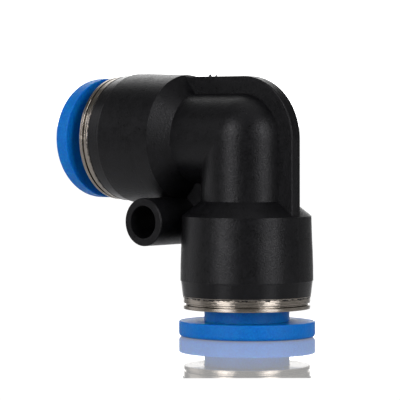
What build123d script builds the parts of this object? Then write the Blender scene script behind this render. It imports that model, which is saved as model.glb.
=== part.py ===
"""Push to connect union elbow for 6 mm tube, with a hollow mounting boss in its inner corner.

Frame: +Z up, millimetres. The origin is the centre of the bottom port's mouth, on the plane
that the fitting stands on. The bottom port points along -Z and the side port along -X.
Sizes along a port are reaches, measured from the elbow centre, where the two port axes cross.
"""

import os
from math import cos, radians, sin, tan

from build123d import *

# --- what the fitting takes -------------------------------------------------------------
tube_diameter = 6.0
screw_clearance_diameter = 3.2

# --- fits ---------------------------------------------------------------------------------
seat_clearance = 0.05           # tube in the body's seat
sleeve_clearance = 0.10         # tube in the release sleeve
running_clearance = 0.06        # sleeve in the guide ring
claw_clearance = 0.10           # claw rim in the body
end_play = 0.05                 # along the port, on each side of a moving piece
claw_bite = 0.12                # claw tips inside the tube's outside
seal_squeeze = 0.15             # seal lip inside the tube's outside

# --- walls and steps across a port ---------------------------------------------------------
sleeve_wall = 1.00
ring_wall = 1.29
barrel_wall = 0.95
barrel_waist = 0.12             # how far the barrel draws in behind its widest place
barrel_root_step = 0.18         # the same at the shoulder
lip_step = 0.05                 # small ledge where the pressed lip starts
lip_draw = 0.23                 # how far the lip draws in at the mouth
neck_wall = 1.35
flow_step = 0.85                # ledge that stops the tube
seal_seat_step = 0.45           # ledge under the keeper ring
collar_step = 0.67              # guide ring's collar outside the body
collar_groove_depth = 0.24
barb_height = 0.30              # sleeve's snap edge
nose_relief = 0.10
nose_tip_wall = 0.30
flange_long_overhang = 2.59     # oval flange past the stem
flange_short_overhang = 1.87

# --- lengths along a port ------------------------------------------------------------------
stop_wall = 0.45                # between the stop ledge and the other port's tube seat
seat_length = 4.40
seal_width = 2.00
keeper_length = 2.30
claw_thickness = 0.25
ring_press_length = 2.55        # guide ring inside the body
ring_shown_length = 1.20        # guide ring outside the body
press_travel = 1.00
flange_stop_gap = 0.20          # guide ring to the sleeve's flange, sleeve pressed in
nose_play = 0.45                # sleeve travel before its nose meets the claw
flange_thickness = 1.50
neck_length = 5.95              # elbow centre to the start of the shoulder
shoulder_length = 1.45
waist_length = 2.00             # shoulder to the end of the straight draft
lip_length = 1.50
collar_band_length = 0.62
collar_groove_width = 0.25
barb_length = 0.60
barb_margin = 0.25

# --- claw, sleeve and ring details --------------------------------------------------------
finger_count = 8
finger_angle = 42.0             # from the port's axis
finger_slot = 0.45
claw_rim_width = 0.80
nose_slot_count = 4
nose_slot = 0.60
nose_slot_margin = 0.35
bottom_flange_turn = -14.0      # where the free-turning oval flanges rest, in degrees
side_flange_turn = 0.0          # about the port's outward axis
press_barb_count = 3
press_barb_depth = 0.18

# --- web, boss and moulding marks ---------------------------------------------------------
web_thickness = 1.25
web_step = 0.17                 # web's edge below the shoulder's corner
boss_wall = 0.73
boss_bite = 0.53                # how far the boss sinks into each barrel
boss_half_length = 6.0
pip_radii = (0.20, 0.15)
pip_height = 0.20
pip_reach = 4.55                # first pip, from the elbow centre
pip_spacing = 0.75

# --- edge breaks --------------------------------------------------------------------------
moulded_edge = 0.12
flange_edge = 0.35
flange_inner_edge = 0.10
mouth_chamfer = 0.30
metal_edge = 0.06

# --- radii worked out from the tube --------------------------------------------------------
tube_radius = tube_diameter / 2
seat_radius = tube_radius + seat_clearance
flow_radius = seat_radius - flow_step
neck_radius = seat_radius + neck_wall
sleeve_bore = tube_radius + sleeve_clearance
stem_radius = sleeve_bore + sleeve_wall
barb_radius = stem_radius + barb_height
nose_radius = stem_radius - nose_relief
nose_tip_radius = sleeve_bore + nose_tip_wall
ring_bore = stem_radius + running_clearance
ring_recess_radius = barb_radius + running_clearance
press_radius = ring_bore + ring_wall
seal_seat_radius = press_radius - seal_seat_step
collar_radius = press_radius + collar_step
barrel_radius = press_radius + barrel_wall
barrel_root_radius = barrel_radius - barrel_root_step
web_reach = barrel_root_radius - web_step
claw_outer_radius = press_radius - claw_clearance
claw_inner_radius = claw_outer_radius - claw_rim_width
claw_tip_radius = tube_radius - claw_bite
screw_radius = screw_clearance_diameter / 2
boss_radius = screw_radius + boss_wall
boss_offset = barrel_root_radius + boss_radius - boss_bite

# --- reaches worked out from the elbow centre ----------------------------------------------
stop_reach = seat_radius + stop_wall
seal_reach = stop_reach + seat_length
keeper_reach = seal_reach + seal_width
claw_reach = keeper_reach + keeper_length + end_play
ring_reach = claw_reach + claw_thickness + end_play
mouth_reach = ring_reach + ring_press_length
collar_reach = mouth_reach + ring_shown_length
flange_reach = collar_reach + press_travel + flange_stop_gap
outer_reach = flange_reach + flange_thickness
shoulder_reach = neck_length + shoulder_length
lip_reach = mouth_reach - lip_length
waist_reach = shoulder_reach + waist_length
snap_ledge_reach = ring_reach + barb_margin + barb_length + press_travel + end_play
finger_drop = 1 / tan(radians(finger_angle))        # reach lost for each unit of radius
nose_reach = (
    claw_reach + claw_thickness + nose_play
    - (claw_inner_radius - nose_tip_radius) * finger_drop
)

elbow = Vector(0, 0, outer_reach)
overshoot = 1.0                 # how far a cutter runs past the face that it opens


class Port:
    """One end of the elbow: its axis, its planes and its name."""

    def __init__(self, name, out, across):
        self.name = name
        self.axis = Axis(elbow, out)
        self.out = Vector(*out)
        self.across = Vector(*across)
        # in a profile plane, local X is the radius and local Y is the reach
        self.profile = Plane(elbow, x_dir=across, z_dir=self.across.cross(self.out))

    def section(self, reach):
        """The plane across the port at a reach, facing out of the port."""
        return Plane(elbow + self.out * reach, x_dir=self.across, z_dir=self.out)


bottom = Port("bottom", (0, 0, -1), (1, 0, 0))
side = Port("side", (-1, 0, 0), (0, 1, 0))
ports = (bottom, side)


def save(part, name):
    """Label a finished piece and write its STEP file."""
    part.label = name
    export_step(part, f"parts/{name}.step")


def outside_profile(port):
    """Half section of one leg's solid outside: neck, shoulder, barrel and pressed lip."""
    bulge_reach = (waist_reach + lip_reach) / 2
    with BuildSketch(port.profile) as profile:
        with BuildLine():
            skin = Polyline(
                (0, 0),
                (neck_radius, 0),
                (neck_radius, neck_length),
                (barrel_root_radius, shoulder_reach),
                (barrel_radius - barrel_waist, waist_reach),
            )
            bulge = ThreePointArc(
                skin @ 1,
                (barrel_radius - barrel_waist / 10, bulge_reach + lip_length / 2),
                (barrel_radius, lip_reach),
            )
            Polyline(
                bulge @ 1,
                (barrel_radius - lip_step, lip_reach),
                (barrel_radius - lip_draw, mouth_reach),
                (0, mouth_reach),
                (0, 0),
            )
        make_face()
        corner = profile.vertices().sort_by_distance(
            port.profile.from_local_coords((barrel_root_radius, shoulder_reach))
        )[0]
        fillet(corner, moulded_edge)
    return profile.sketch


def cavity_profile(port):
    """Half section of one leg's stepped bore: flow hole, tube seat, seal seat and press bore."""
    with BuildSketch(port.profile) as profile:
        with BuildLine():
            Polyline(
                (0, 0),
                (flow_radius, 0),
                (flow_radius, stop_reach),
                (seat_radius, stop_reach),
                (seat_radius, seal_reach),
                (seal_seat_radius, seal_reach),
                (seal_seat_radius, keeper_reach),
                (press_radius, keeper_reach),
                (press_radius, mouth_reach + overshoot),
                (0, mouth_reach + overshoot),
                (0, 0),
            )
        make_face()
    return profile.sketch


def make_web():
    """Flat rib round the outside of the bend, and its gusset in the inner corner."""
    mid_plane = Plane(elbow, x_dir=(1, 0, 0), z_dir=(0, -1, 0))
    run = shoulder_reach + moulded_edge
    with BuildPart() as web:
        with BuildSketch(mid_plane):
            with BuildLine():
                top = Line((-run, web_reach), (0, web_reach))
                bend = RadiusArc(top @ 1, (web_reach, 0), web_reach)
                right = Line(bend @ 1, (web_reach, -run))
                Polyline(right @ 1, (0, -run), (0, 0), (-run, 0), (-run, web_reach))
            make_face()
            with Locations((-boss_offset / 2, -boss_offset / 2)):
                Rectangle(boss_offset, boss_offset)
        extrude(amount=web_thickness / 2, both=True)
        rim = web.faces().filter_by(Axis.Y, reverse=True).filter_by(
            lambda face: face.center().X > web_reach / 2
            or face.center().Z > elbow.Z + web_reach / 2
        )
        fillet(
            rim.edges().filter_by(
                lambda edge: abs(abs(edge.center().Y) - web_thickness / 2) < moulded_edge / 10
            ),
            moulded_edge,
        )
    return web.part


def make_boss():
    """Hollow boss across the elbow's plane."""
    centre = elbow + Vector(-boss_offset, boss_half_length, -boss_offset)
    with BuildPart() as boss:
        with BuildSketch(Plane(centre, x_dir=(1, 0, 0), z_dir=(0, -1, 0))):
            Circle(boss_radius)
        extrude(amount=2 * boss_half_length)
        fillet(boss.edges().filter_by(GeomType.CIRCLE), moulded_edge)
    return boss.part


def make_elbow_body():
    """The moulded elbow: two legs, round bend, web, boss, moulding pips and stepped bores."""
    web = make_web()
    boss = make_boss()
    hole_plane = Plane(
        elbow + Vector(-boss_offset, boss_half_length + overshoot, -boss_offset),
        x_dir=(1, 0, 0),
        z_dir=(0, -1, 0),
    )
    with BuildPart() as body:
        for port in ports:
            add(outside_profile(port))
            revolve(axis=port.axis)
        with Locations(elbow):
            Sphere(neck_radius)
        add(web)
        add(boss)
        for number, radius in enumerate(pip_radii):
            place = elbow + Vector(-pip_reach + number * pip_spacing, 0, web_reach)
            with BuildSketch(Plane(place).offset(-pip_height)):
                Circle(radius)
            extrude(amount=2 * pip_height, taper=15)
        for port in ports:
            add(cavity_profile(port))
            revolve(axis=port.axis, mode=Mode.SUBTRACT)
        with Locations(elbow):
            Sphere(flow_radius, mode=Mode.SUBTRACT)
        with BuildSketch(hole_plane):
            Circle(screw_radius)
        extrude(amount=2 * (boss_half_length + overshoot), mode=Mode.SUBTRACT)
    return body.part


def make_guide_ring(port):
    """Turned ring pressed into the mouth: collar with a groove, bore for the sleeve, snap recess."""
    barb_pitch = ring_press_length / press_barb_count
    groove_start = mouth_reach + collar_band_length
    groove_end = groove_start + collar_groove_width
    groove_radius = collar_radius - collar_groove_depth
    with BuildPart() as ring:
        with BuildSketch(port.profile):
            with BuildLine():
                inside = Polyline(
                    (ring_recess_radius, ring_reach),
                    (ring_recess_radius, snap_ledge_reach),
                    (ring_bore, snap_ledge_reach),
                    (ring_bore, collar_reach - metal_edge),
                    (ring_bore + metal_edge, collar_reach),
                    (collar_radius - metal_edge, collar_reach),
                    (collar_radius, collar_reach - metal_edge),
                    (collar_radius, groove_end),
                    (groove_radius, groove_end),
                    (groove_radius, groove_start),
                    (collar_radius, groove_start),
                    (collar_radius, mouth_reach),
                    (press_radius, mouth_reach),
                )
                barb_line = [inside @ 1]
                for number in range(press_barb_count):
                    crest = mouth_reach - number * barb_pitch
                    barb_line.append((press_radius - press_barb_depth, crest - barb_pitch / 3))
                    barb_line.append((press_radius, crest - barb_pitch / 2))
                barb_line.append((press_radius - press_barb_depth, ring_reach))
                barb_line.append((ring_recess_radius, ring_reach))
                Polyline(*barb_line)
            make_face()
        revolve(axis=port.axis)
    return ring.part


def make_lock_claw(port):
    """Stamped spring ring: a flat rim, bent into fingers that point inwards and back."""
    rim_top = claw_reach + claw_thickness
    finger_run = (claw_inner_radius - claw_tip_radius) * finger_drop
    tip_out = claw_thickness * cos(radians(finger_angle))
    tip_back = claw_thickness * sin(radians(finger_angle))
    bend_out = claw_thickness * tan(radians(90 - finger_angle) / 2)
    with BuildPart() as claw:
        with BuildSketch(port.profile):
            with BuildLine():
                Polyline(
                    (claw_outer_radius, claw_reach),
                    (claw_outer_radius, rim_top),
                    (claw_inner_radius, rim_top),
                    (claw_tip_radius, rim_top - finger_run),
                    (claw_tip_radius + tip_out, rim_top - finger_run - tip_back),
                    (claw_inner_radius + bend_out, claw_reach),
                    (claw_outer_radius, claw_reach),
                )
            make_face()
        revolve(axis=port.axis)
        with BuildSketch(port.section(claw_reach - finger_run - overshoot)):
            with PolarLocations(claw_inner_radius / 2, finger_count):
                Rectangle(claw_inner_radius, finger_slot)
        extrude(amount=finger_run + claw_thickness + 2 * overshoot, mode=Mode.SUBTRACT)
    return claw.part


def make_keeper_ring(port):
    """Plain ring that holds the seal in and carries the claw, open inside for its fingers."""
    floor_radius = nose_tip_radius + claw_thickness + claw_clearance
    mouth_radius = claw_inner_radius + claw_rim_width / 2
    with BuildPart() as keeper:
        with BuildSketch(port.profile):
            with BuildLine():
                Polyline(
                    (floor_radius, keeper_reach),
                    (press_radius, keeper_reach),
                    (press_radius, keeper_reach + keeper_length),
                    (mouth_radius, keeper_reach + keeper_length),
                    (floor_radius, keeper_reach + claw_thickness),
                    (floor_radius, keeper_reach),
                )
            make_face()
        revolve(axis=port.axis)
    return keeper.part


def make_seal(port):
    """Rubber ring with a rounded lip that grips the tube."""
    lip_radius = tube_radius - seal_squeeze
    lip_round = seal_width / 4
    lip_middle = seal_reach + seal_width / 2
    waist = lip_radius + lip_round
    with BuildPart() as seal:
        with BuildSketch(port.profile):
            with BuildLine():
                back = Polyline(
                    (waist, lip_middle + lip_round),
                    (waist + lip_round, keeper_reach),
                    (seal_seat_radius, keeper_reach),
                    (seal_seat_radius, seal_reach),
                    (waist + lip_round, seal_reach),
                    (waist, lip_middle - lip_round),
                )
                ThreePointArc(back @ 1, (lip_radius, lip_middle), back @ 0)
            make_face()
        revolve(axis=port.axis)
    return seal.part


def make_release_sleeve(port, flange_turn):
    """Push sleeve: oval flange, stem with a snap barb, and a slotted nose that opens the claw."""
    barb_top = snap_ledge_reach - end_play
    nose_back = nose_reach + (nose_radius - nose_tip_radius) * finger_drop
    slot_length = barb_top + nose_slot_margin - nose_reach
    with BuildPart() as sleeve:
        with BuildSketch(port.section(flange_reach)):
            Ellipse(
                stem_radius + flange_long_overhang,
                stem_radius + flange_short_overhang,
                rotation=flange_turn,
            )
        extrude(amount=flange_thickness)
        outer_rim = sleeve.faces().sort_by(port.axis)[-1].edges()
        fillet(outer_rim, flange_edge)
        inner_rim = sleeve.faces().sort_by(port.axis)[0].edges()
        fillet(inner_rim, flange_inner_edge)
        with BuildSketch(port.profile):
            with BuildLine():
                Polyline(
                    (0, flange_reach + flange_thickness / 2),
                    (stem_radius, flange_reach + flange_thickness / 2),
                    (stem_radius, barb_top),
                    (barb_radius, barb_top),
                    (barb_radius, barb_top - barb_length / 2),
                    (nose_radius, barb_top - barb_length),
                    (nose_radius, nose_back),
                    (nose_tip_radius, nose_reach),
                    (0, nose_reach),
                    (0, flange_reach + flange_thickness / 2),
                )
            make_face()
        revolve(axis=port.axis)
        with BuildSketch(port.profile):
            with BuildLine():
                Polyline(
                    (0, nose_reach - overshoot),
                    (sleeve_bore, nose_reach - overshoot),
                    (sleeve_bore, outer_reach - mouth_chamfer),
                    (sleeve_bore + mouth_chamfer + overshoot, outer_reach + overshoot),
                    (0, outer_reach + overshoot),
                    (0, nose_reach - overshoot),
                )
            make_face()
        revolve(axis=port.axis, mode=Mode.SUBTRACT)
        with BuildSketch(port.section(nose_reach)):
            with PolarLocations(barb_radius / 2, nose_slot_count, start_angle=45):
                Rectangle(barb_radius + overshoot, nose_slot)
        extrude(amount=slot_length, mode=Mode.SUBTRACT)
    return sleeve.part


os.makedirs("parts", exist_ok=True)
save(make_elbow_body(), "elbow_body")
for port, turn in ((bottom, bottom_flange_turn), (side, side_flange_turn)):
    save(make_guide_ring(port), f"{port.name}_guide_ring")
    save(make_lock_claw(port), f"{port.name}_lock_claw")
    save(make_keeper_ring(port), f"{port.name}_keeper_ring")
    save(make_seal(port), f"{port.name}_seal")
    save(make_release_sleeve(port, turn), f"{port.name}_release_sleeve")

print(f"elbow centre at Z {outer_reach:.3f}, outer reach {outer_reach:.3f}")
print(f"tube insertion depth {outer_reach - stop_reach:.3f}")
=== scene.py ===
"""Push to connect union elbow: its finishes, its moulding and turning marks, and the studio round it.

Everything is in metres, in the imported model's frame: +Z up, the fitting stands on Z = 0, the
bottom port points along -Z and the side port along -X. Lengths written in millimetres are
multiplied by MM. A reach is a length along a port's axis from the elbow centre, where both axes
cross, and a turn is an angle round that axis.
"""

from math import cos, radians, sin

import bpy
import numpy as np
from mathutils import Matrix, Vector


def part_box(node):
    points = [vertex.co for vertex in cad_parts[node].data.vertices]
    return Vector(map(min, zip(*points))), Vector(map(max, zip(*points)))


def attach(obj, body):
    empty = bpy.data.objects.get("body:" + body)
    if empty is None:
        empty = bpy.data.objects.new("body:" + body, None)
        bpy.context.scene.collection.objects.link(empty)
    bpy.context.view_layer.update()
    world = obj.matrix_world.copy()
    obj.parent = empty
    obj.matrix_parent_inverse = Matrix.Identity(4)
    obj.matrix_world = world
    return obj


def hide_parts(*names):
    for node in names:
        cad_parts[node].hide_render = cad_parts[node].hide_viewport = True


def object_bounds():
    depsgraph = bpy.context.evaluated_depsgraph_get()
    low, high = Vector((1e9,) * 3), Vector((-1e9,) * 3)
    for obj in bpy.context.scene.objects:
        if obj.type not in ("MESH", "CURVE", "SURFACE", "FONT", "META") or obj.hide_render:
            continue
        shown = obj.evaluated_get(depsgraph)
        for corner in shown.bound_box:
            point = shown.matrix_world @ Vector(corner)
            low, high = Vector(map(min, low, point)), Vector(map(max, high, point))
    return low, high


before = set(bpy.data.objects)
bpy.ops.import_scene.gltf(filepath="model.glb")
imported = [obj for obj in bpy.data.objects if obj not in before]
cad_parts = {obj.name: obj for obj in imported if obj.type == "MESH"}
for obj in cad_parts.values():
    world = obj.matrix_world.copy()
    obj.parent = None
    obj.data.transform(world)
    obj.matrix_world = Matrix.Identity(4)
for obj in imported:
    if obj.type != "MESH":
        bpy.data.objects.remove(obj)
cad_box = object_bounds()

MM = 0.001
FULL_TURN = 2 * np.pi

# --- the fitting's own sizes, in millimetres ------------------------------------------------
RING_BORE = 4.16
RING_RECESS = 4.46              # recess in which the sleeve's snap edge slides
RING_RECESS_LENGTH = 1.90
RING_PRESS_RADIUS = 5.45        # shank, pressed in the body
BARREL_RADIUS = 6.40            # barrel where its lip starts
BARREL_ROOT_RADIUS = 6.22       # barrel at its shoulder
SHOULDER_REACH = 7.40
LIP_REACH = 13.60               # where the lip starts
LIP_EDGE = 0.05                 # half the width over which the lip's finish starts
WEB_REACH = 6.05                # outer edge of the web
NECK_RADIUS = 4.40              # the bend's too

# --- turning marks on the guide rings, in millimetres ---------------------------------------
COLLAR_BAND = 0.62              # first band, from the body's mouth to the groove
COLLAR_GROOVE_WIDTH = 0.20
COLLAR_GROOVE_DEPTH = 0.20
TURNING_PITCH = 0.110
TURNING_DEPTH = 0.010
TURNED_EDGE = 0.05              # radius of an eased edge
UNEVEN_DEPTH = (0.3, 1.6)       # least and most depth of a ridge, as a share
UNEVEN_KNOTS = 9                # places along a band where that share is drawn
CHATTER_DEPTH = 0.003           # unevenness of each ridge round the ring
CHATTER_WAVES = 47
CHATTER_START = 0.1             # chatter begins this far outside the shank
MOST_RIDGES = 1000              # phases drawn, more than there are ridges
RING_STEPS = 320                # round the ring
RIDGE_POINTS = 8                # along a ridge
FACE_POINTS = 60                # across the faced end

# --- moulding and pressing marks, in millimetres --------------------------------------------
FRILL_THICKNESS = 0.045
FRILL_STEPS = 900
FLASH = {"clearance": 0.020, "longest": 0.24, "sharpness": 1.6}     # plastic squeezed up
BURR = {"clearance": 0.055, "longest": 0.13, "sharpness": 5}        # metal scraped off
EDGE_WAVES = 48                 # waves added up in an uneven edge
EDGE_COUNTS = (3, 160)          # how often each repeats in a turn: from 3 to under 160
EDGE_HEIGHTS = (0.3, 1.0)       # and its height, before that is made less for frequent ones
SEAM_WIDTH = 0.12               # parting line left by the two mould halves
SEAM_HEIGHT = 0.014
SEAM_LEAST = 0.35               # lowest the line gets, as a share of its height
SEAM_STEP = 0.05                # from one of its sections to the next
SEAM_REPEAT = 40                # length after which its unevenness comes again
BEND_POINTS = 40                # of the web's outer edge
SMALL_SECTION = 12              # points round the section of a seam or of the gate's ring
GATE_RADIUS = 0.26              # ring left where the mould was filled
GATE_WIDTH = 0.07
GATE_DIP = 0.3                  # how much its height changes round it, as a share
GATE_STEPS = 48
GATE_AZIMUTH = radians(32.2)
GATE_ELEVATION = radians(40.6)
RING_CREASE = 40                # angle in degrees past which an edge stays sharp
FRILL_CREASE = 60
SEAM_CREASE = 50
RING_SEED = 10
FLASH_SEED = 30
BURR_SEED = 50
SEAM_SEED = 70
THICKNESS_SEED = 7              # added to a frill's own seed

# --- finishes: grain and lines per metre, depths in millimetres -----------------------------
BODY_GRAIN = {"Grain_per_metre": 5600.0, "Mottle_per_metre": 1400.0}
BODY_GRAIN_DEPTH = 0.022
BODY_ROUGHNESS = (0.27, 0.47)
BODY_DEEP = (0.0028, 0.0028, 0.0032)
BODY_WORN = (0.0048, 0.0048, 0.0055)
BODY_DUST = (0.08, 0.08, 0.085)
BODY_DUST_AMOUNT = 0.25
SCRATCH_ROUGHNESS = 0.08        # added where the body is scratched
LIP_ROUGHNESS = 0.25            # pressed lip, smoother than the moulded barrel
LIP_GRAIN = 0.08                # the grain left on the lip, as a share
LIP_LINES = 4200.0              # faint lines across the lip
LIP_LINE_SHARE = 0.45           # depth of the lip's lines, as a share of the grain's
SLEEVE_GRAIN = {"Grain_per_metre": 5600.0, "Mottle_per_metre": 1500.0}
SLEEVE_GRAIN_DEPTH = 0.036
SLEEVE_ROUGHNESS = (0.34, 0.54)
SLEEVE_DEEP = (0.0003, 0.125, 0.45)
SLEEVE_LIGHT = (0.0014, 0.185, 0.57)
SLEEVE_DUST = (0.35, 0.45, 0.62)
SLEEVE_DUST_AMOUNT = 0.18
SLEEVE_SPECKS = 2200.0          # cells that may hold a speck of dust
SLEEVE_GLOW_DEPTH = 1.6         # how far light goes under the blue surface
NICKEL_BRIGHT = (0.36, 0.325, 0.28)
NICKEL_DULL = (0.26, 0.23, 0.19)
# painted shade: the colour laid into the low places of the lathe lines
NICKEL_PAINTED_SHADE_COLOUR = (0.07, 0.06, 0.05)
NICKEL_ROUGHNESS = (0.04, 0.11)
NICKEL_LINE_DEPTH = 0.008
NICKEL_LINES = 30000.0
STEEL_CLEAN = (0.56, 0.55, 0.53)
STEEL_SCRATCHED = (0.36, 0.35, 0.34)
STEEL_ROUGHNESS = (0.24, 0.42)
STEEL_SCRATCH_DEPTH = 0.003
STEEL_SCRATCHES = 1500.0        # how fine they are
NATURAL_GRAIN = {"Grain_per_metre": 5000.0, "Mottle_per_metre": 600.0}
NATURAL_GRAIN_DEPTH = 0.006
NATURAL_ROUGHNESS = (0.32, 0.42)
NATURAL_SHADED = (0.72, 0.70, 0.64)
NATURAL_LIGHT = (0.80, 0.78, 0.73)
NATURAL_GLOW_DEPTH = 0.8
RUBBER_GRAIN = {"Grain_per_metre": 5000.0, "Mottle_per_metre": 500.0}
RUBBER_GRAIN_DEPTH = 0.010
RUBBER_ROUGHNESS = (0.5, 0.7)
RUBBER_BLACK = (0.012, 0.012, 0.012)
RUBBER_BLOOM = (0.03, 0.03, 0.031)
GRAIN_SPAN = (0.45, 0.90)       # lowest and highest that the grain's height usually is
TONE_SPAN = (0.35, 0.65)        # and the same for its tone
MOTTLE_SHARE = 0.35             # how much mottle is added to the grain's height
SPECK_EDGE = (0.16, 0.06)       # from a cell's middle, where a speck starts and is full
SPECK_PICK = (0.66, 0.72)       # noise from which a cell has a speck
SCRATCH_TURN = (0.3, 0.5, 0.9)
SCRATCH_SQUEEZE = (1.0, 14.0, 1.0)
SCRATCH_PEAK = (0.70, 0.78)     # noise from which there is a scratch
LINE_DRIFTS = 700.0             # how often a line wavers
LINE_SHIFT = 1.2                # and how far, in lines
STAINS = 450.0
NICKEL_STAIN_SPAN = (0.35, 0.7)
NICKEL_PAINTED_SHADE_SPAN = (0.32, 0.46)  # heights of the lathe lines, from full painted shade in their hollows to none
NICKEL_PAINTED_SHADE_AMOUNT = 0.55      # how dark that painted shade is
NICKEL_LINE_SPAN = (0.3, 0.7)

# --- camera ---------------------------------------------------------------------------------
VIEW_AZIMUTH = radians(40.155)
VIEW_ELEVATION = radians(1.972)
VIEW_ROLL = radians(-0.112)
VIEW_DISTANCE = 240.324         # from the elbow centre, in millimetres
VIEW_OFFSET = (-4.485, -5.877)  # how far right of and above that line the camera stands
LENS = 225.0                    # in millimetres
SENSOR = 36.0                   # its width, in millimetres

# --- studio: floor in millimetres, lights in metres, degrees and watts ----------------------
FLOOR_HALF = 3000.0
FLOOR_GAP = 0.02                # the floor lies this far under the fitting
SHEET_FRONT = 38.0              # reach of its glossy part from the origin towards the camera
SHEET_EDGE = 0.5                # and how far that takes to end
SHEET_SIDE = 16.0               # its reach to the sides and behind
SHEET_FADE = 14.0               # and how far it takes to fade out there
SHEET_INDEX = 1.35              # refractive index of its gloss
SHEET_POLISH = 0.02             # roughness of its gloss
SHEET_GLOSS = 1.36              # strength of its gloss as the camera sees it
SHEET_BOUNCE = 0.72             # and as it lights the fitting
SHEET_WHITE = 0.85              # how much light the matt floor throws back
FRONT_FLOOR = 0.10              # and how much it does in front of the glossy part
FLOOR_GLOW = 1.05               # the white that the camera sees on the floor
BACKDROP_GLOW = 1.35            # and past the floor
DIM_SIDE = 0.14                 # the surround's light in front of and beside the fitting
BRIGHT_BACK = 2.4               # and behind it
PANEL_SIDES = (0.12, 0.42)      # where that bright panel fades out, as a sine from its middle
PANEL_FRONT = (0.30, 0.80)      # and as a cosine
LAMP_COLOUR = (0.97, 0.96, 1.0)
SOFTBOXES = (                   # name, azimuth, elevation, distance, width, height, power
    ("left_strip", -43, 18, 0.5, 0.20, 0.40, 1.50),
    ("right_strip", 42, 18, 0.5, 0.20, 0.40, 1.40),
    ("left_fill", -112, 14, 0.5, 0.30, 0.30, 0.25),
    ("top_box", 20, 80, 0.6, 0.5, 0.5, 0.5),
)

# --- places read from the frame -------------------------------------------------------------
elbow = Vector((0, 0, sum(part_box("side_guide_ring"), Vector()).z / 2))
mouth_reach = (elbow.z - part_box("elbow_body")[0].z) / MM
collar_reach = (elbow.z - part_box("bottom_guide_ring")[0].z) / MM
ring_reach = (elbow.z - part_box("bottom_guide_ring")[1].z) / MM
collar_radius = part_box("bottom_guide_ring")[1].x / MM


# --- places along a port --------------------------------------------------------------------
class Port:
    """One end of the elbow: where it points, and two directions across it."""

    def __init__(self, name, out, across):
        self.name = name
        self.out = np.array(out, float)
        self.across = np.array(across, float)
        self.along = np.cross(self.out, self.across)

    def place(self, reach, radius, turn):
        """Points in metres from reach and radius in millimetres and turn in radians, as arrays."""
        spoke = np.cos(turn)[..., None] * self.across + np.sin(turn)[..., None] * self.along
        offset = reach[..., None] * self.out + radius[..., None] * spoke
        return np.array(elbow) + offset * MM


PORTS = (Port("bottom", (0, 0, -1), (1, 0, 0)), Port("side", (-1, 0, 0), (0, 1, 0)))


# --- meshes from grids ----------------------------------------------------------------------
def signed_volume(points, quads):
    """Volume enclosed by the faces: a sum of the pyramids from the origin to each half quad."""
    a, b, c, d = (points[quads[:, k]] for k in range(4))
    halves = np.einsum("ij,ij->i", a, np.cross(b, c)) + np.einsum("ij,ij->i", a, np.cross(c, d))
    return halves.sum() / 6


def closed_piece(name, points, quads, caps, crease):
    """A smooth closed mesh from a grid's points, its quads and any end caps. The faces are turned
    over if they point inwards, for which the volume under the quads is enough to go by."""
    flat = points.reshape(-1, 3)
    if signed_volume(flat - flat.mean(axis=0), quads) < 0:
        quads = quads[:, ::-1]
        caps = [cap[::-1] for cap in caps]
    mesh = bpy.data.meshes.new(name)
    mesh.from_pydata(flat.tolist(), [], quads.tolist() + caps)
    mesh.polygons.foreach_set("use_smooth", np.ones(len(mesh.polygons), bool))
    mesh.set_sharp_from_angle(angle=radians(crease))
    piece = bpy.data.objects.new(name, mesh)
    bpy.context.scene.collection.objects.link(piece)
    return piece


def number_grid(points):
    """The number of each point of a grid, and of the next point round its row."""
    rows, columns = points.shape[:2]
    number = np.arange(rows * columns).reshape(rows, columns)
    return number, np.roll(number, -1, axis=1)


def wrapped_grid(name, points, crease):
    """A closed mesh from a grid of points that joins on to itself both ways, like a ring."""
    number, beside = number_grid(points)
    below = np.roll(number, -1, axis=0)
    across = np.roll(beside, -1, axis=0)
    quads = np.stack([number, beside, across, below], axis=-1).reshape(-1, 4)
    return closed_piece(name, points, quads, [], crease)


def capped_strip(name, points, crease):
    """A closed mesh from sections carried along a path: rows along it, columns round a section."""
    number, beside = number_grid(points)
    quads = np.stack([number[:-1], beside[:-1], beside[1:], number[1:]], axis=-1).reshape(-1, 4)
    caps = [number[0, ::-1].tolist(), number[-1].tolist()]
    return closed_piece(name, points, quads, caps, crease)


def finish_piece(piece, material):
    """Put a piece on the housing and in its finish."""
    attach(piece, "housing")
    piece.data.materials.append(material)


# --- pieces ---------------------------------------------------------------------------------
def ragged(turn, seed):
    """Uneven edge from 0 to 1 round a ring: a sum of cosines of a whole number times the turn,
    each with a random number, phase and height, and lower as the number grows."""
    draw = np.random.default_rng(seed)
    counts = draw.integers(*EDGE_COUNTS, EDGE_WAVES)
    phases = draw.uniform(0, FULL_TURN, EDGE_WAVES)
    heights = draw.uniform(*EDGE_HEIGHTS, EDGE_WAVES) / np.sqrt(counts)
    swell = (heights[:, None] * np.cos(counts[:, None] * turn + phases[:, None])).sum(axis=0)
    return (swell - swell.min()) / (swell.max() - swell.min())


def turned_face(start, end, radius, seed):
    """Profile of one turned band: the radius, less a quarter circle at each end, less a groove
    between each two ridges. A ridge is the absolute value of a sine along the reach, and the
    grooves' depth is drawn at a few places and changes evenly between them."""
    reach = np.linspace(start, end, int((end - start) / TURNING_PITCH * RIDGE_POINTS) + 1)
    knots = np.linspace(start, end, UNEVEN_KNOTS)
    depths = np.random.default_rng(seed).uniform(*UNEVEN_DEPTH, UNEVEN_KNOTS)
    uneven = np.interp(reach, knots, depths)
    wave = np.abs(np.sin(np.pi * (reach - start) / TURNING_PITCH))
    ease = np.clip(np.minimum(reach - start, end - reach) / TURNED_EDGE, 0, 1)
    drop = TURNED_EDGE * (1 - np.sqrt(1 - (1 - ease) ** 2))
    return np.stack([reach, radius - drop - TURNING_DEPTH * uneven * (1 - wave)], axis=-1)


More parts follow.
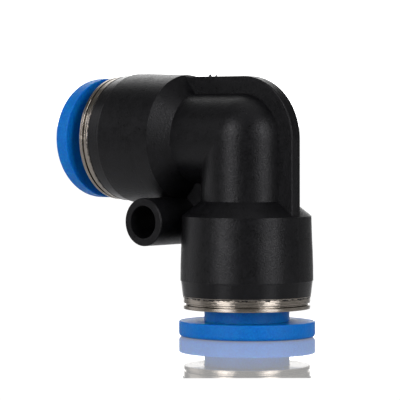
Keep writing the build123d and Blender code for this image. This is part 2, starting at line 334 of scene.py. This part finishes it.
def make_guide_ring(port, seed):
    """Turned ring: a profile down the shank, back along the recess and the bore, up the faced end
    and along both bands, carried round the port's axis. The faced end's grooves are a cosine of
    the radius. The outside loses a little more by a cosine of the turn, in another phase on each
    ridge."""
    groove_start = mouth_reach + COLLAR_BAND
    groove_end = groove_start + COLLAR_GROOVE_WIDTH
    shank = np.array([
        (mouth_reach, RING_PRESS_RADIUS),
        (ring_reach, RING_PRESS_RADIUS),
        (ring_reach, RING_RECESS),
        (ring_reach + RING_RECESS_LENGTH, RING_RECESS),
        (ring_reach + RING_RECESS_LENGTH, RING_BORE),
        (collar_reach - TURNED_EDGE, RING_BORE),
        (collar_reach, RING_BORE + TURNED_EDGE),
    ])
    facing = np.linspace(RING_BORE + 2 * TURNED_EDGE, collar_radius - TURNED_EDGE, FACE_POINTS)
    dip = TURNING_DEPTH * (0.5 - 0.5 * np.cos(FULL_TURN * facing / (2 * TURNING_PITCH)))
    end_face = np.stack([collar_reach - dip, facing], axis=-1)
    outer_band = turned_face(groove_end, collar_reach, collar_radius, seed)[::-1]
    groove_floor = turned_face(
        groove_start, groove_end, collar_radius - COLLAR_GROOVE_DEPTH, seed + 1
    )[::-1]
    inner_band = turned_face(mouth_reach, groove_start, collar_radius, seed + 2)[::-1]
    profile = np.concatenate([shank, end_face, outer_band[1:], groove_floor, inner_band])
    turn = np.linspace(0, FULL_TURN, RING_STEPS, endpoint=False)
    turns = np.repeat(turn[None, :], len(profile), axis=0)
    reach = np.repeat(profile[:, :1], len(turn), axis=1)
    phase = np.random.default_rng(seed + 3).uniform(0, FULL_TURN, MOST_RIDGES)
    ridge = ((profile[:, 0] - ring_reach) / TURNING_PITCH).astype(int)
    chatter = np.where(profile[:, 1] > RING_PRESS_RADIUS + CHATTER_START, CHATTER_DEPTH, 0)
    waves = np.cos(CHATTER_WAVES * turns + phase[ridge][:, None])
    radius = profile[:, 1:] - chatter[:, None] * (0.5 + 0.5 * waves)
    ring = wrapped_grid(
        f"{port.name}_turned_ring", port.place(reach, radius, turns), RING_CREASE
    )
    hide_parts(f"{port.name}_guide_ring")
    return ring


def make_frill(port, label, seed, clearance, longest, sharpness):
    """Ragged edge round the collar: a thin section of five points carried round the port's axis,
    whose tip reaches out by the uneven edge raised to a power, and whose wall is uneven too."""
    turn = np.linspace(0, FULL_TURN, FRILL_STEPS, endpoint=False)
    edge = ragged(turn, seed) ** sharpness
    foot = np.full_like(turn, mouth_reach - FRILL_THICKNESS)
    tip = mouth_reach + FRILL_THICKNESS / 4 + longest * edge
    inner = np.full_like(turn, collar_radius + clearance)
    outer = inner + FRILL_THICKNESS * (0.5 + 0.5 * ragged(turn, seed + THICKNESS_SEED))
    middle = (foot + tip) / 2
    reach = np.stack([foot, foot, middle, tip, middle])
    radius = np.stack([inner, outer, outer, inner + FRILL_THICKNESS / 5, inner])
    turns = np.repeat(turn[None, :], len(reach), axis=0)
    return wrapped_grid(f"{port.name}_{label}", port.place(reach, radius, turns), FRILL_CREASE)


def seam_lines():
    """The outer edges that the parting line follows, in the body's middle plane, as X and Z from
    the elbow centre: side barrel, bottom barrel, and the web, which is straight, then a quarter
    circle round the elbow centre, then straight. The bottom's half is the side's, mirrored."""
    bend = np.linspace(np.pi / 2, 0, BEND_POINTS)
    corner = WEB_REACH * np.stack([np.cos(bend), np.sin(bend)], axis=-1)
    side_barrel = [(-LIP_REACH, BARREL_RADIUS), (-SHOULDER_REACH, BARREL_ROOT_RADIUS)]
    bottom_barrel = [(z, x) for x, z in side_barrel]
    web = [(-SHOULDER_REACH, WEB_REACH), *corner.tolist(), (WEB_REACH, -SHOULDER_REACH)]
    return {"side_barrel_seam": side_barrel, "bottom_barrel_seam": bottom_barrel, "web_seam": web}


def make_seam(name, outline, seed):
    """Parting line: a low ellipse, half of it sunk in the body, carried along a stretch of the
    body's outline in even steps, with an uneven height, and kept inside the barrel's radius."""
    outline = np.array(outline)
    steps = np.linalg.norm(np.diff(outline, axis=0), axis=1)
    length = np.concatenate([[0], np.cumsum(steps)])
    at = np.linspace(0, length[-1], int(length[-1] / SEAM_STEP))
    line = np.stack([np.interp(at, length, outline[:, k]) for k in (0, 1)], axis=-1)
    ahead = np.gradient(line, axis=0)
    ahead /= np.linalg.norm(ahead, axis=1, keepdims=True)
    outward = np.stack([-ahead[:, 1], ahead[:, 0]], axis=-1)
    outward *= np.sign((outward * line).sum(axis=1))[:, None]
    uneven = ragged(FULL_TURN * at / SEAM_REPEAT, seed)
    height = SEAM_HEIGHT * (SEAM_LEAST + (1 - SEAM_LEAST) * uneven)
    around = np.linspace(0, FULL_TURN, SMALL_SECTION, endpoint=False)
    lift = np.sin(around)[None, :] * height[:, None]
    across = np.repeat(np.cos(around)[None, :] * SEAM_WIDTH / 2, len(at), axis=0)
    flat = np.minimum(line[:, None, :] + outward[:, None, :] * lift[..., None], BARREL_RADIUS)
    points = np.stack([flat[..., 0], across, flat[..., 1]], axis=-1)
    return capped_strip(name, np.array(elbow) + points * MM, SEAM_CREASE)


def make_gate_ring():
    """Ring left by the mould's gate: a small round section carried round a circle on the bend,
    with its height changed three times a turn by a cosine."""
    axis = np.array([
        sin(GATE_AZIMUTH) * cos(GATE_ELEVATION),
        -cos(GATE_AZIMUTH) * cos(GATE_ELEVATION),
        sin(GATE_ELEVATION),
    ])
    level = np.cross(axis, (0, 0, 1))
    level /= np.linalg.norm(level)
    upward = np.cross(level, axis)
    turn = np.linspace(0, FULL_TURN, GATE_STEPS, endpoint=False)[:, None]
    around = np.linspace(0, FULL_TURN, SMALL_SECTION, endpoint=False)[None, :]
    radius = GATE_RADIUS + GATE_WIDTH / 2 * np.cos(around)
    wavy = 1 - GATE_DIP + GATE_DIP * np.cos(3 * turn)
    surface = NECK_RADIUS - GATE_RADIUS ** 2 / (2 * NECK_RADIUS)
    raised = surface + GATE_WIDTH / 2 * np.sin(around) * wavy
    points = (
        raised[..., None] * axis
        + (radius * np.cos(turn))[..., None] * level
        + (radius * np.sin(turn))[..., None] * upward
    )
    return wrapped_grid("gate_ring", np.array(elbow) + points * MM, RING_CREASE)


# --- nodes for the finishes -----------------------------------------------------------------
def add_node(tree, kind, settings=(), **inputs):
    """Add a node. Settings are its own properties; inputs are values or sockets, by socket name."""
    made = tree.nodes.new(kind)
    for key, value in dict(settings).items():
        setattr(made, key, value)
    for key, value in inputs.items():
        socket = made.inputs[int(key[1:])] if key[0] == "_" else made.inputs[key.replace("_", " ")]
        if isinstance(value, bpy.types.NodeSocket):
            tree.links.new(value, socket)
        else:
            socket.default_value = value
    return made


def math_node(tree, operation, first, second=0.0, clamp=False):
    """The result socket of one sum, product or other operation on two numbers or sockets."""
    settings = {"operation": operation, "use_clamp": clamp}
    return add_node(tree, "ShaderNodeMath", settings, _0=first, _1=second).outputs[0]


def add(tree, first, second):
    """The sum of two numbers or sockets."""
    return math_node(tree, "ADD", first, second)


def times(tree, first, second):
    """The product of two numbers or sockets."""
    return math_node(tree, "MULTIPLY", first, second)


def spread(tree, value, low, high, start=0.0, end=1.0):
    """Map a value from start..end on to low..high, and hold it there outside them."""
    made = add_node(tree, "ShaderNodeMapRange", Value=value, From_Min=start, From_Max=end,
                    To_Min=low, To_Max=high)
    return made.outputs[0]


def noise(tree, vector, scale, detail, roughness=0.5):
    """Smooth random value from 0 to 1, so many times a metre, with finer noise laid over it."""
    made = add_node(tree, "ShaderNodeTexNoise", Vector=vector, Scale=scale, Detail=detail,
                    Roughness=roughness)
    return made.outputs["Fac"]


def dot(tree, first, second):
    """The length of one direction along another, as a socket."""
    made = add_node(tree, "ShaderNodeVectorMath", {"operation": "DOT_PRODUCT"}, _0=first,
                    _1=tuple(second))
    return made.outputs["Value"]


def new_group(name, inputs, outputs):
    """A shader node group with named number or vector sockets, and its two end nodes."""
    group = bpy.data.node_groups.new(name, "ShaderNodeTree")
    for label, kind, value in inputs:
        socket = group.interface.new_socket(label, in_out="INPUT", socket_type=kind)
        if kind == "NodeSocketFloat":
            socket.default_value = value
    for label in outputs:
        group.interface.new_socket(label, in_out="OUTPUT", socket_type="NodeSocketFloat")
    return group, group.nodes.new("NodeGroupInput"), group.nodes.new("NodeGroupOutput")


def make_moulded_grain():
    """Spark-eroded mould texture: fine grain plus a share of a slower mottle, as a height, and
    the mottle by itself as a tone."""
    group, given, result = new_group(
        "moulded_grain",
        [("Vector", "NodeSocketVector", None), ("Grain per metre", "NodeSocketFloat", 5000.0),
         ("Mottle per metre", "NodeSocketFloat", 600.0)],
        ["Height", "Tone"],
    )
    where = given.outputs["Vector"]
    grain = noise(group, where, given.outputs["Grain per metre"], 3.0, 0.6)
    mottle = noise(group, where, given.outputs["Mottle per metre"], 4.0, 0.55)
    height = add(group, grain, times(group, mottle, MOTTLE_SHARE))
    group.links.new(height, result.inputs["Height"])
    group.links.new(mottle, result.inputs["Tone"])
    return group


def make_handling_marks():
    """Dust and hairline scratches, each as a mask from 0 to 1. Dust is the middle of some cells
    of a cell pattern, picked by a noise. Scratches are the peaks of a noise squeezed one way."""
    group, given, result = new_group(
        "handling_marks",
        [("Vector", "NodeSocketVector", None), ("Specks per metre", "NodeSocketFloat", 2600.0),
         ("Scratch per metre", "NodeSocketFloat", 420.0)],
        ["Dust", "Scratch"],
    )
    where = given.outputs["Vector"]
    cells = add_node(group, "ShaderNodeTexVoronoi", Vector=where,
                     Scale=given.outputs["Specks per metre"])
    speck = spread(group, cells.outputs["Distance"], 0.0, 1.0, *SPECK_EDGE)
    pick = noise(group, where, given.outputs["Specks per metre"], 0.0)
    dust = times(group, speck, spread(group, pick, 0.0, 1.0, *SPECK_PICK))
    squeezed = add_node(group, "ShaderNodeMapping", Vector=where, Rotation=SCRATCH_TURN,
                        Scale=SCRATCH_SQUEEZE)
    hair = noise(group, squeezed.outputs[0], given.outputs["Scratch per metre"], 2.0)
    scratch = spread(group, hair, 0.0, 1.0, *SCRATCH_PEAK)
    group.links.new(dust, result.inputs["Dust"])
    group.links.new(scratch, result.inputs["Scratch"])
    return group


def make_turning_lines():
    """Lines across a reach, as a height: a noise of the reach alone, shifted a little by a noise
    of the place, so that the lines waver. Stains, as a tone, are a slower noise of the place."""
    group, given, result = new_group(
        "turning_lines",
        [("Vector", "NodeSocketVector", None), ("Reach", "NodeSocketFloat", 0.0),
         ("Lines per metre", "NodeSocketFloat", NICKEL_LINES)],
        ["Height", "Tone"],
    )
    where = given.outputs["Vector"]
    steady = times(group, given.outputs["Reach"], given.outputs["Lines per metre"])
    drift = noise(group, where, LINE_DRIFTS, 2.0)
    shifted = add(group, steady, times(group, drift, LINE_SHIFT))
    lines = add_node(group, "ShaderNodeTexNoise", {"noise_dimensions": "1D"}, W=shifted,
                     Scale=1.0, Detail=3.0)
    stain = noise(group, where, STAINS, 5.0)
    group.links.new(lines.outputs["Fac"], result.inputs["Height"])
    group.links.new(stain, result.inputs["Tone"])
    return group


GRAIN = make_moulded_grain()
MARKS = make_handling_marks()
LINES = make_turning_lines()


def place_group(tree, group, where, **inputs):
    """Put a shared effect in a material, with its own values. Names use _ for a space."""
    return add_node(tree, "ShaderNodeGroup", {"node_tree": group}, Vector=where, **inputs)


def new_finish(name, **fixed):
    """A material with its shader's constant values set, and its object coordinates."""
    material = bpy.data.materials.new(name)
    material.use_nodes = True
    tree = material.node_tree
    shader = tree.nodes["Principled BSDF"]
    for key, value in fixed.items():
        shader.inputs[key.replace("_", " ")].default_value = value
    where = tree.nodes.new("ShaderNodeTexCoord").outputs["Object"]
    return material, tree, shader, where


def blend_colours(tree, amount, first, second):
    """One colour to another as a mask goes from 0 to 1."""
    made = add_node(tree, "ShaderNodeMix", {"data_type": "RGBA"}, _0=amount)
    for index, colour in ((6, first), (7, second)):
        if isinstance(colour, bpy.types.NodeSocket):
            tree.links.new(colour, made.inputs[index])
        else:
            made.inputs[index].default_value = (*colour, 1)
    return made.outputs[2]


def bump(tree, shader, height, depth):
    """Feed a height of 0 to 1 to the shader's normal, with its depth in millimetres."""
    made = add_node(tree, "ShaderNodeBump", Height=height, Distance=depth * MM)
    tree.links.new(made.outputs[0], shader.inputs["Normal"])


def make_lip_masks(tree, axes):
    """Masks of the bottom and the side lip: 1 past the lip's start along each port."""
    start = (LIP_REACH - LIP_EDGE) * MM
    end = (LIP_REACH + LIP_EDGE) * MM
    bottom_lip = spread(tree, axes.outputs["Z"], 1.0, 0.0, elbow.z - end, elbow.z - start)
    side_lip = spread(tree, axes.outputs["X"], 1.0, 0.0, -end, -start)
    return bottom_lip, side_lip


def body_black():
    """Satin black moulded polyester: eroded grain, dust, and a smoother pressed lip, whose faint
    lines run across each port's own axis."""
    material, tree, shader, where = new_finish("body_black", IOR=1.5, Specular_IOR_Level=0.21)
    grain = place_group(tree, GRAIN, where, **BODY_GRAIN)
    marks = place_group(tree, MARKS, where)
    axes = add_node(tree, "ShaderNodeSeparateXYZ", Vector=where)
    bottom_lip, side_lip = make_lip_masks(tree, axes)
    lip = math_node(tree, "MAXIMUM", bottom_lip, side_lip)
    tone = spread(tree, grain.outputs["Tone"], 0.0, 1.0, *TONE_SPAN)
    plain = blend_colours(tree, tone, BODY_DEEP, BODY_WORN)
    dust = times(tree, marks.outputs["Dust"], BODY_DUST_AMOUNT)
    tree.links.new(blend_colours(tree, dust, plain, BODY_DUST), shader.inputs["Base Color"])
    satin = spread(tree, grain.outputs["Height"], *BODY_ROUGHNESS, *GRAIN_SPAN)
    off_lip = times(tree, satin, spread(tree, lip, 1.0, 0.0))
    rough = add(tree, off_lip, times(tree, lip, LIP_ROUGHNESS))
    rough = add(tree, rough, times(tree, marks.outputs["Scratch"], SCRATCH_ROUGHNESS))
    tree.links.new(rough, shader.inputs["Roughness"])
    bottom_reach = times(tree, bottom_lip, axes.outputs["Z"])
    side_reach = times(tree, side_lip, axes.outputs["X"])
    rubbed = place_group(tree, LINES, where, Reach=add(tree, bottom_reach, side_reach),
                         Lines_per_metre=LIP_LINES)
    grained = times(tree, grain.outputs["Height"], spread(tree, lip, 1.0, LIP_GRAIN))
    lined = times(tree, rubbed.outputs["Height"], spread(tree, lip, 0.0, LIP_LINE_SHARE))
    bump(tree, shader, add(tree, grained, lined), BODY_GRAIN_DEPTH)
    return material


def sleeve_blue():
    """Satin blue acetal with a fine moulded grain. Light goes a little way into it."""
    material, tree, shader, where = new_finish(
        "sleeve_blue", IOR=1.48, Specular_IOR_Level=0.17, Subsurface_Weight=0.45,
        Subsurface_Radius=(0.01, 0.12, 1.0), Subsurface_Scale=SLEEVE_GLOW_DEPTH * MM,
    )
    grain = place_group(tree, GRAIN, where, **SLEEVE_GRAIN)
    marks = place_group(tree, MARKS, where, Specks_per_metre=SLEEVE_SPECKS)
    tone = spread(tree, grain.outputs["Height"], 0.0, 1.0, *GRAIN_SPAN)
    plain = blend_colours(tree, tone, SLEEVE_DEEP, SLEEVE_LIGHT)
    dust = times(tree, marks.outputs["Dust"], SLEEVE_DUST_AMOUNT)
    tree.links.new(blend_colours(tree, dust, plain, SLEEVE_DUST), shader.inputs["Base Color"])
    rough = spread(tree, grain.outputs["Height"], *SLEEVE_ROUGHNESS, *GRAIN_SPAN)
    tree.links.new(rough, shader.inputs["Roughness"])
    bump(tree, shader, grain.outputs["Height"], SLEEVE_GRAIN_DEPTH)
    return material


def ring_nickel(port):
    """Nickel-plated brass with lathe marks across the port's reach, and painted shade darkening the
    low places of those lines.
    """
    material, tree, shader, where = new_finish(f"{port.name}_ring_nickel", Metallic=1.0)
    lines = place_group(tree, LINES, where, Reach=dot(tree, where, port.out))
    tone = spread(tree, lines.outputs["Tone"], 0.0, 1.0, *NICKEL_STAIN_SPAN)
    plated = blend_colours(tree, tone, NICKEL_BRIGHT, NICKEL_DULL)
    # painted shade: the base colour darkens where the lathe lines' height is low, as in their hollows
    painted_line_shade = spread(tree, lines.outputs["Height"], NICKEL_PAINTED_SHADE_AMOUNT, 0.0, *NICKEL_PAINTED_SHADE_SPAN)
    tree.links.new(blend_colours(tree, painted_line_shade, plated, NICKEL_PAINTED_SHADE_COLOUR), shader.inputs["Base Color"])
    rough = spread(tree, lines.outputs["Height"], *NICKEL_ROUGHNESS, *NICKEL_LINE_SPAN)
    tree.links.new(rough, shader.inputs["Roughness"])
    bump(tree, shader, lines.outputs["Height"], NICKEL_LINE_DEPTH)
    return material


def claw_steel():
    """Rolled and stamped spring steel with fine scratches."""
    material, tree, shader, where = new_finish("claw_steel", Metallic=1.0)
    marks = place_group(tree, MARKS, where, Scratch_per_metre=STEEL_SCRATCHES)
    scratch = marks.outputs["Scratch"]
    colour = blend_colours(tree, scratch, STEEL_CLEAN, STEEL_SCRATCHED)
    tree.links.new(colour, shader.inputs["Base Color"])
    tree.links.new(spread(tree, scratch, *STEEL_ROUGHNESS), shader.inputs["Roughness"])
    bump(tree, shader, scratch, STEEL_SCRATCH_DEPTH)
    return material


def moulded_finish(name, grain_sizes, grain_depth, roughness, dark, light, **fixed):
    """A plain moulded finish: colour and roughness follow the grain's tone, bump its height."""
    material, tree, shader, where = new_finish(name, **fixed)
    grain = place_group(tree, GRAIN, where, **grain_sizes)
    colour = blend_colours(tree, grain.outputs["Tone"], dark, light)
    tree.links.new(colour, shader.inputs["Base Color"])
    tree.links.new(spread(tree, grain.outputs["Tone"], *roughness), shader.inputs["Roughness"])
    bump(tree, shader, grain.outputs["Height"], grain_depth)
    return material


def keeper_natural():
    """Natural white acetal, a little translucent."""
    return moulded_finish(
        "keeper_natural", NATURAL_GRAIN, NATURAL_GRAIN_DEPTH, NATURAL_ROUGHNESS, NATURAL_SHADED,
        NATURAL_LIGHT, Subsurface_Weight=0.3, Subsurface_Radius=(1.0, 0.9, 0.7),
        Subsurface_Scale=NATURAL_GLOW_DEPTH * MM,
    )


def seal_rubber():
    """Black nitrile rubber with a dry bloom."""
    return moulded_finish(
        "seal_rubber", RUBBER_GRAIN, RUBBER_GRAIN_DEPTH, RUBBER_ROUGHNESS, RUBBER_BLACK,
        RUBBER_BLOOM, Specular_IOR_Level=0.35,
    )


# --- the fitting ----------------------------------------------------------------------------
black = body_black()
blue = sleeve_blue()
steel = claw_steel()
natural = keeper_natural()
rubber = seal_rubber()


def clothe(node, material):
    """Give a CAD node its finish."""
    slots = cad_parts[node].data.materials
    slots.clear()
    slots.append(material)


clothe("elbow_body", black)
for number, port in enumerate(PORTS):
    clothe(f"{port.name}_release_sleeve", blue)
    clothe(f"{port.name}_lock_claw", steel)
    clothe(f"{port.name}_keeper_ring", natural)
    clothe(f"{port.name}_seal", rubber)
    nickel = ring_nickel(port)
    clothe(f"{port.name}_guide_ring", nickel)
    finish_piece(make_guide_ring(port, RING_SEED + number), nickel)
    flash = make_frill(port, "press_flash", FLASH_SEED + number, **FLASH)
    finish_piece(flash, black)
    burr = make_frill(port, "collar_burr", BURR_SEED + number, **BURR)
    finish_piece(burr, nickel)
for number, (name, line) in enumerate(seam_lines().items()):
    finish_piece(make_seam(name, line, SEAM_SEED + number), black)
finish_piece(make_gate_ring(), black)


# --- camera ---------------------------------------------------------------------------------
def view_axes():
    """The camera's right, up and back directions."""
    back = Vector((
        sin(VIEW_AZIMUTH) * cos(VIEW_ELEVATION),
        -cos(VIEW_AZIMUTH) * cos(VIEW_ELEVATION),
        sin(VIEW_ELEVATION),
    ))
    level = Vector((cos(VIEW_AZIMUTH), sin(VIEW_AZIMUTH), 0))
    upright = back.cross(level)
    right = level * cos(VIEW_ROLL) + upright * sin(VIEW_ROLL)
    return right, back.cross(right), back


right, up, back = view_axes()
lens = bpy.data.cameras.new("camera")
lens.sensor_width = SENSOR
lens.lens = LENS
lens.clip_start = 0.01
lens.clip_end = 20.0
camera = bpy.data.objects.new("camera", lens)
stand = elbow + (back * VIEW_DISTANCE + right * VIEW_OFFSET[0] + up * VIEW_OFFSET[1]) * MM
turned = Matrix((right, up, back)).transposed().to_4x4()
camera.matrix_world = Matrix.Translation(stand) @ turned
bpy.context.scene.collection.objects.link(camera)
bpy.context.scene.camera = camera


# --- studio ---------------------------------------------------------------------------------
def add_softbox(name, azimuth, elevation, distance, width, height, watts):
    """An area light that faces the fitting. Azimuth is from the camera's side, turning right."""
    level = Matrix.Rotation(radians(azimuth), 3, "Z") @ Vector((back.x, back.y, 0)).normalized()
    rise = radians(elevation)
    toward = (level * cos(rise) + Vector((0, 0, sin(rise)))).normalized()
    panel = bpy.data.lights.new(name, "AREA")
    panel.shape = "RECTANGLE"
    panel.size = width
    panel.size_y = height
    panel.energy = watts
    panel.color = LAMP_COLOUR
    light = bpy.data.objects.new(name, panel)
    light.location = elbow + toward * distance
    light.rotation_mode = "QUATERNION"
    light.rotation_quaternion = toward.to_track_quat("Z", "Y")
    light.visible_camera = False
    bpy.context.scene.collection.objects.link(light)


def fade_out(tree, distance, start, width):
    """A mask that goes from 1 to 0 between a start and a width further on, in millimetres."""
    return spread(tree, distance, 1.0, 0.0, start * MM, (start + width) * MM)


def white_sheet():
    """The floor's finish. The camera sees plain white, mixed by Fresnel with a mirror near the
    fitting. Other light meets matt white, darker in front of the sheet, under the same gloss."""
    material = bpy.data.materials.new("white_sheet")
    material.use_nodes = True
    tree = material.node_tree
    tree.nodes.clear()
    where = tree.nodes.new("ShaderNodeTexCoord").outputs["Object"]
    toward = Vector((back.x, back.y, 0)).normalized()
    nearer = dot(tree, where, toward)
    aside = math_node(tree, "ABSOLUTE", dot(tree, where, toward.cross(Vector((0, 0, 1)))))
    sheet = fade_out(tree, nearer, SHEET_FRONT, SHEET_EDGE)
    glossy = times(tree, sheet, fade_out(tree, aside, SHEET_SIDE, SHEET_FADE))
    further = times(tree, nearer, -1.0)
    glossy = times(tree, glossy, fade_out(tree, further, SHEET_SIDE, SHEET_FADE))
    seen = tree.nodes.new("ShaderNodeLightPath").outputs["Is Camera Ray"]
    shiny = math_node(tree, "MAXIMUM", glossy, math_node(tree, "SUBTRACT", 1.0, seen))
    angle = add_node(tree, "ShaderNodeFresnel", IOR=SHEET_INDEX)
    gloss = times(tree, angle.outputs[0], spread(tree, seen, SHEET_BOUNCE, SHEET_GLOSS))
    gloss = math_node(tree, "MULTIPLY", gloss, shiny, clamp=True)
    pale = spread(tree, sheet, FRONT_FLOOR, SHEET_WHITE)
    grey = add_node(tree, "ShaderNodeCombineColor", _0=pale, _1=pale, _2=pale)
    matt = add_node(tree, "ShaderNodeBsdfDiffuse", Color=grey.outputs[0])
    plain = add_node(tree, "ShaderNodeEmission", Strength=FLOOR_GLOW)
    mirror = add_node(tree, "ShaderNodeBsdfGlossy", Color=(1, 1, 1, 1), Roughness=SHEET_POLISH)
    lit = add_node(tree, "ShaderNodeMixShader", _0=seen, _1=matt.outputs[0], _2=plain.outputs[0])
    shown = add_node(tree, "ShaderNodeMixShader", _0=gloss, _1=lit.outputs[0], _2=mirror.outputs[0])
    add_node(tree, "ShaderNodeOutputMaterial", Surface=shown.outputs[0])
    return material


def make_floor():
    """A square floor just under the fitting."""
    half = FLOOR_HALF * MM
    level = cad_box[0].z - FLOOR_GAP * MM
    corners = [(-half, -half, level), (half, -half, level), (half, half, level), (-half, half, level)]
    mesh = bpy.data.meshes.new("floor")
    mesh.from_pydata(corners, [], [(0, 1, 2, 3)])
    mesh.materials.append(white_sheet())
    floor = bpy.data.objects.new("floor", mesh)
    bpy.context.scene.collection.objects.link(floor)


def make_surround():
    """White backdrop to look at; as light, bright behind the fitting and dim in front of it."""
    world = bpy.data.worlds.new("surround")
    bpy.context.scene.world = world
    world.use_nodes = True
    tree = world.node_tree
    shine = tree.nodes["Background"]
    shine.inputs["Color"].default_value = (1, 1, 1, 1)
    direction = tree.nodes.new("ShaderNodeTexCoord").outputs["Generated"]
    away = -Vector((back.x, back.y, 0)).normalized()
    behind = dot(tree, direction, away)
    aside = math_node(tree, "ABSOLUTE", dot(tree, direction, away.cross(Vector((0, 0, 1)))))
    panel = times(tree, spread(tree, aside, 1.0, 0.0, *PANEL_SIDES),
                  spread(tree, behind, 0.0, 1.0, *PANEL_FRONT))
    glow = spread(tree, panel, DIM_SIDE, BRIGHT_BACK)
    seen = tree.nodes.new("ShaderNodeLightPath").outputs["Is Camera Ray"]
    shown = math_node(tree, "MAXIMUM", glow, times(tree, seen, BACKDROP_GLOW))
    tree.links.new(shown, shine.inputs["Strength"])


make_floor()
make_surround()
for softbox in SOFTBOXES:
    add_softbox(*softbox)
bpy.context.scene.view_settings.view_transform = "Standard"
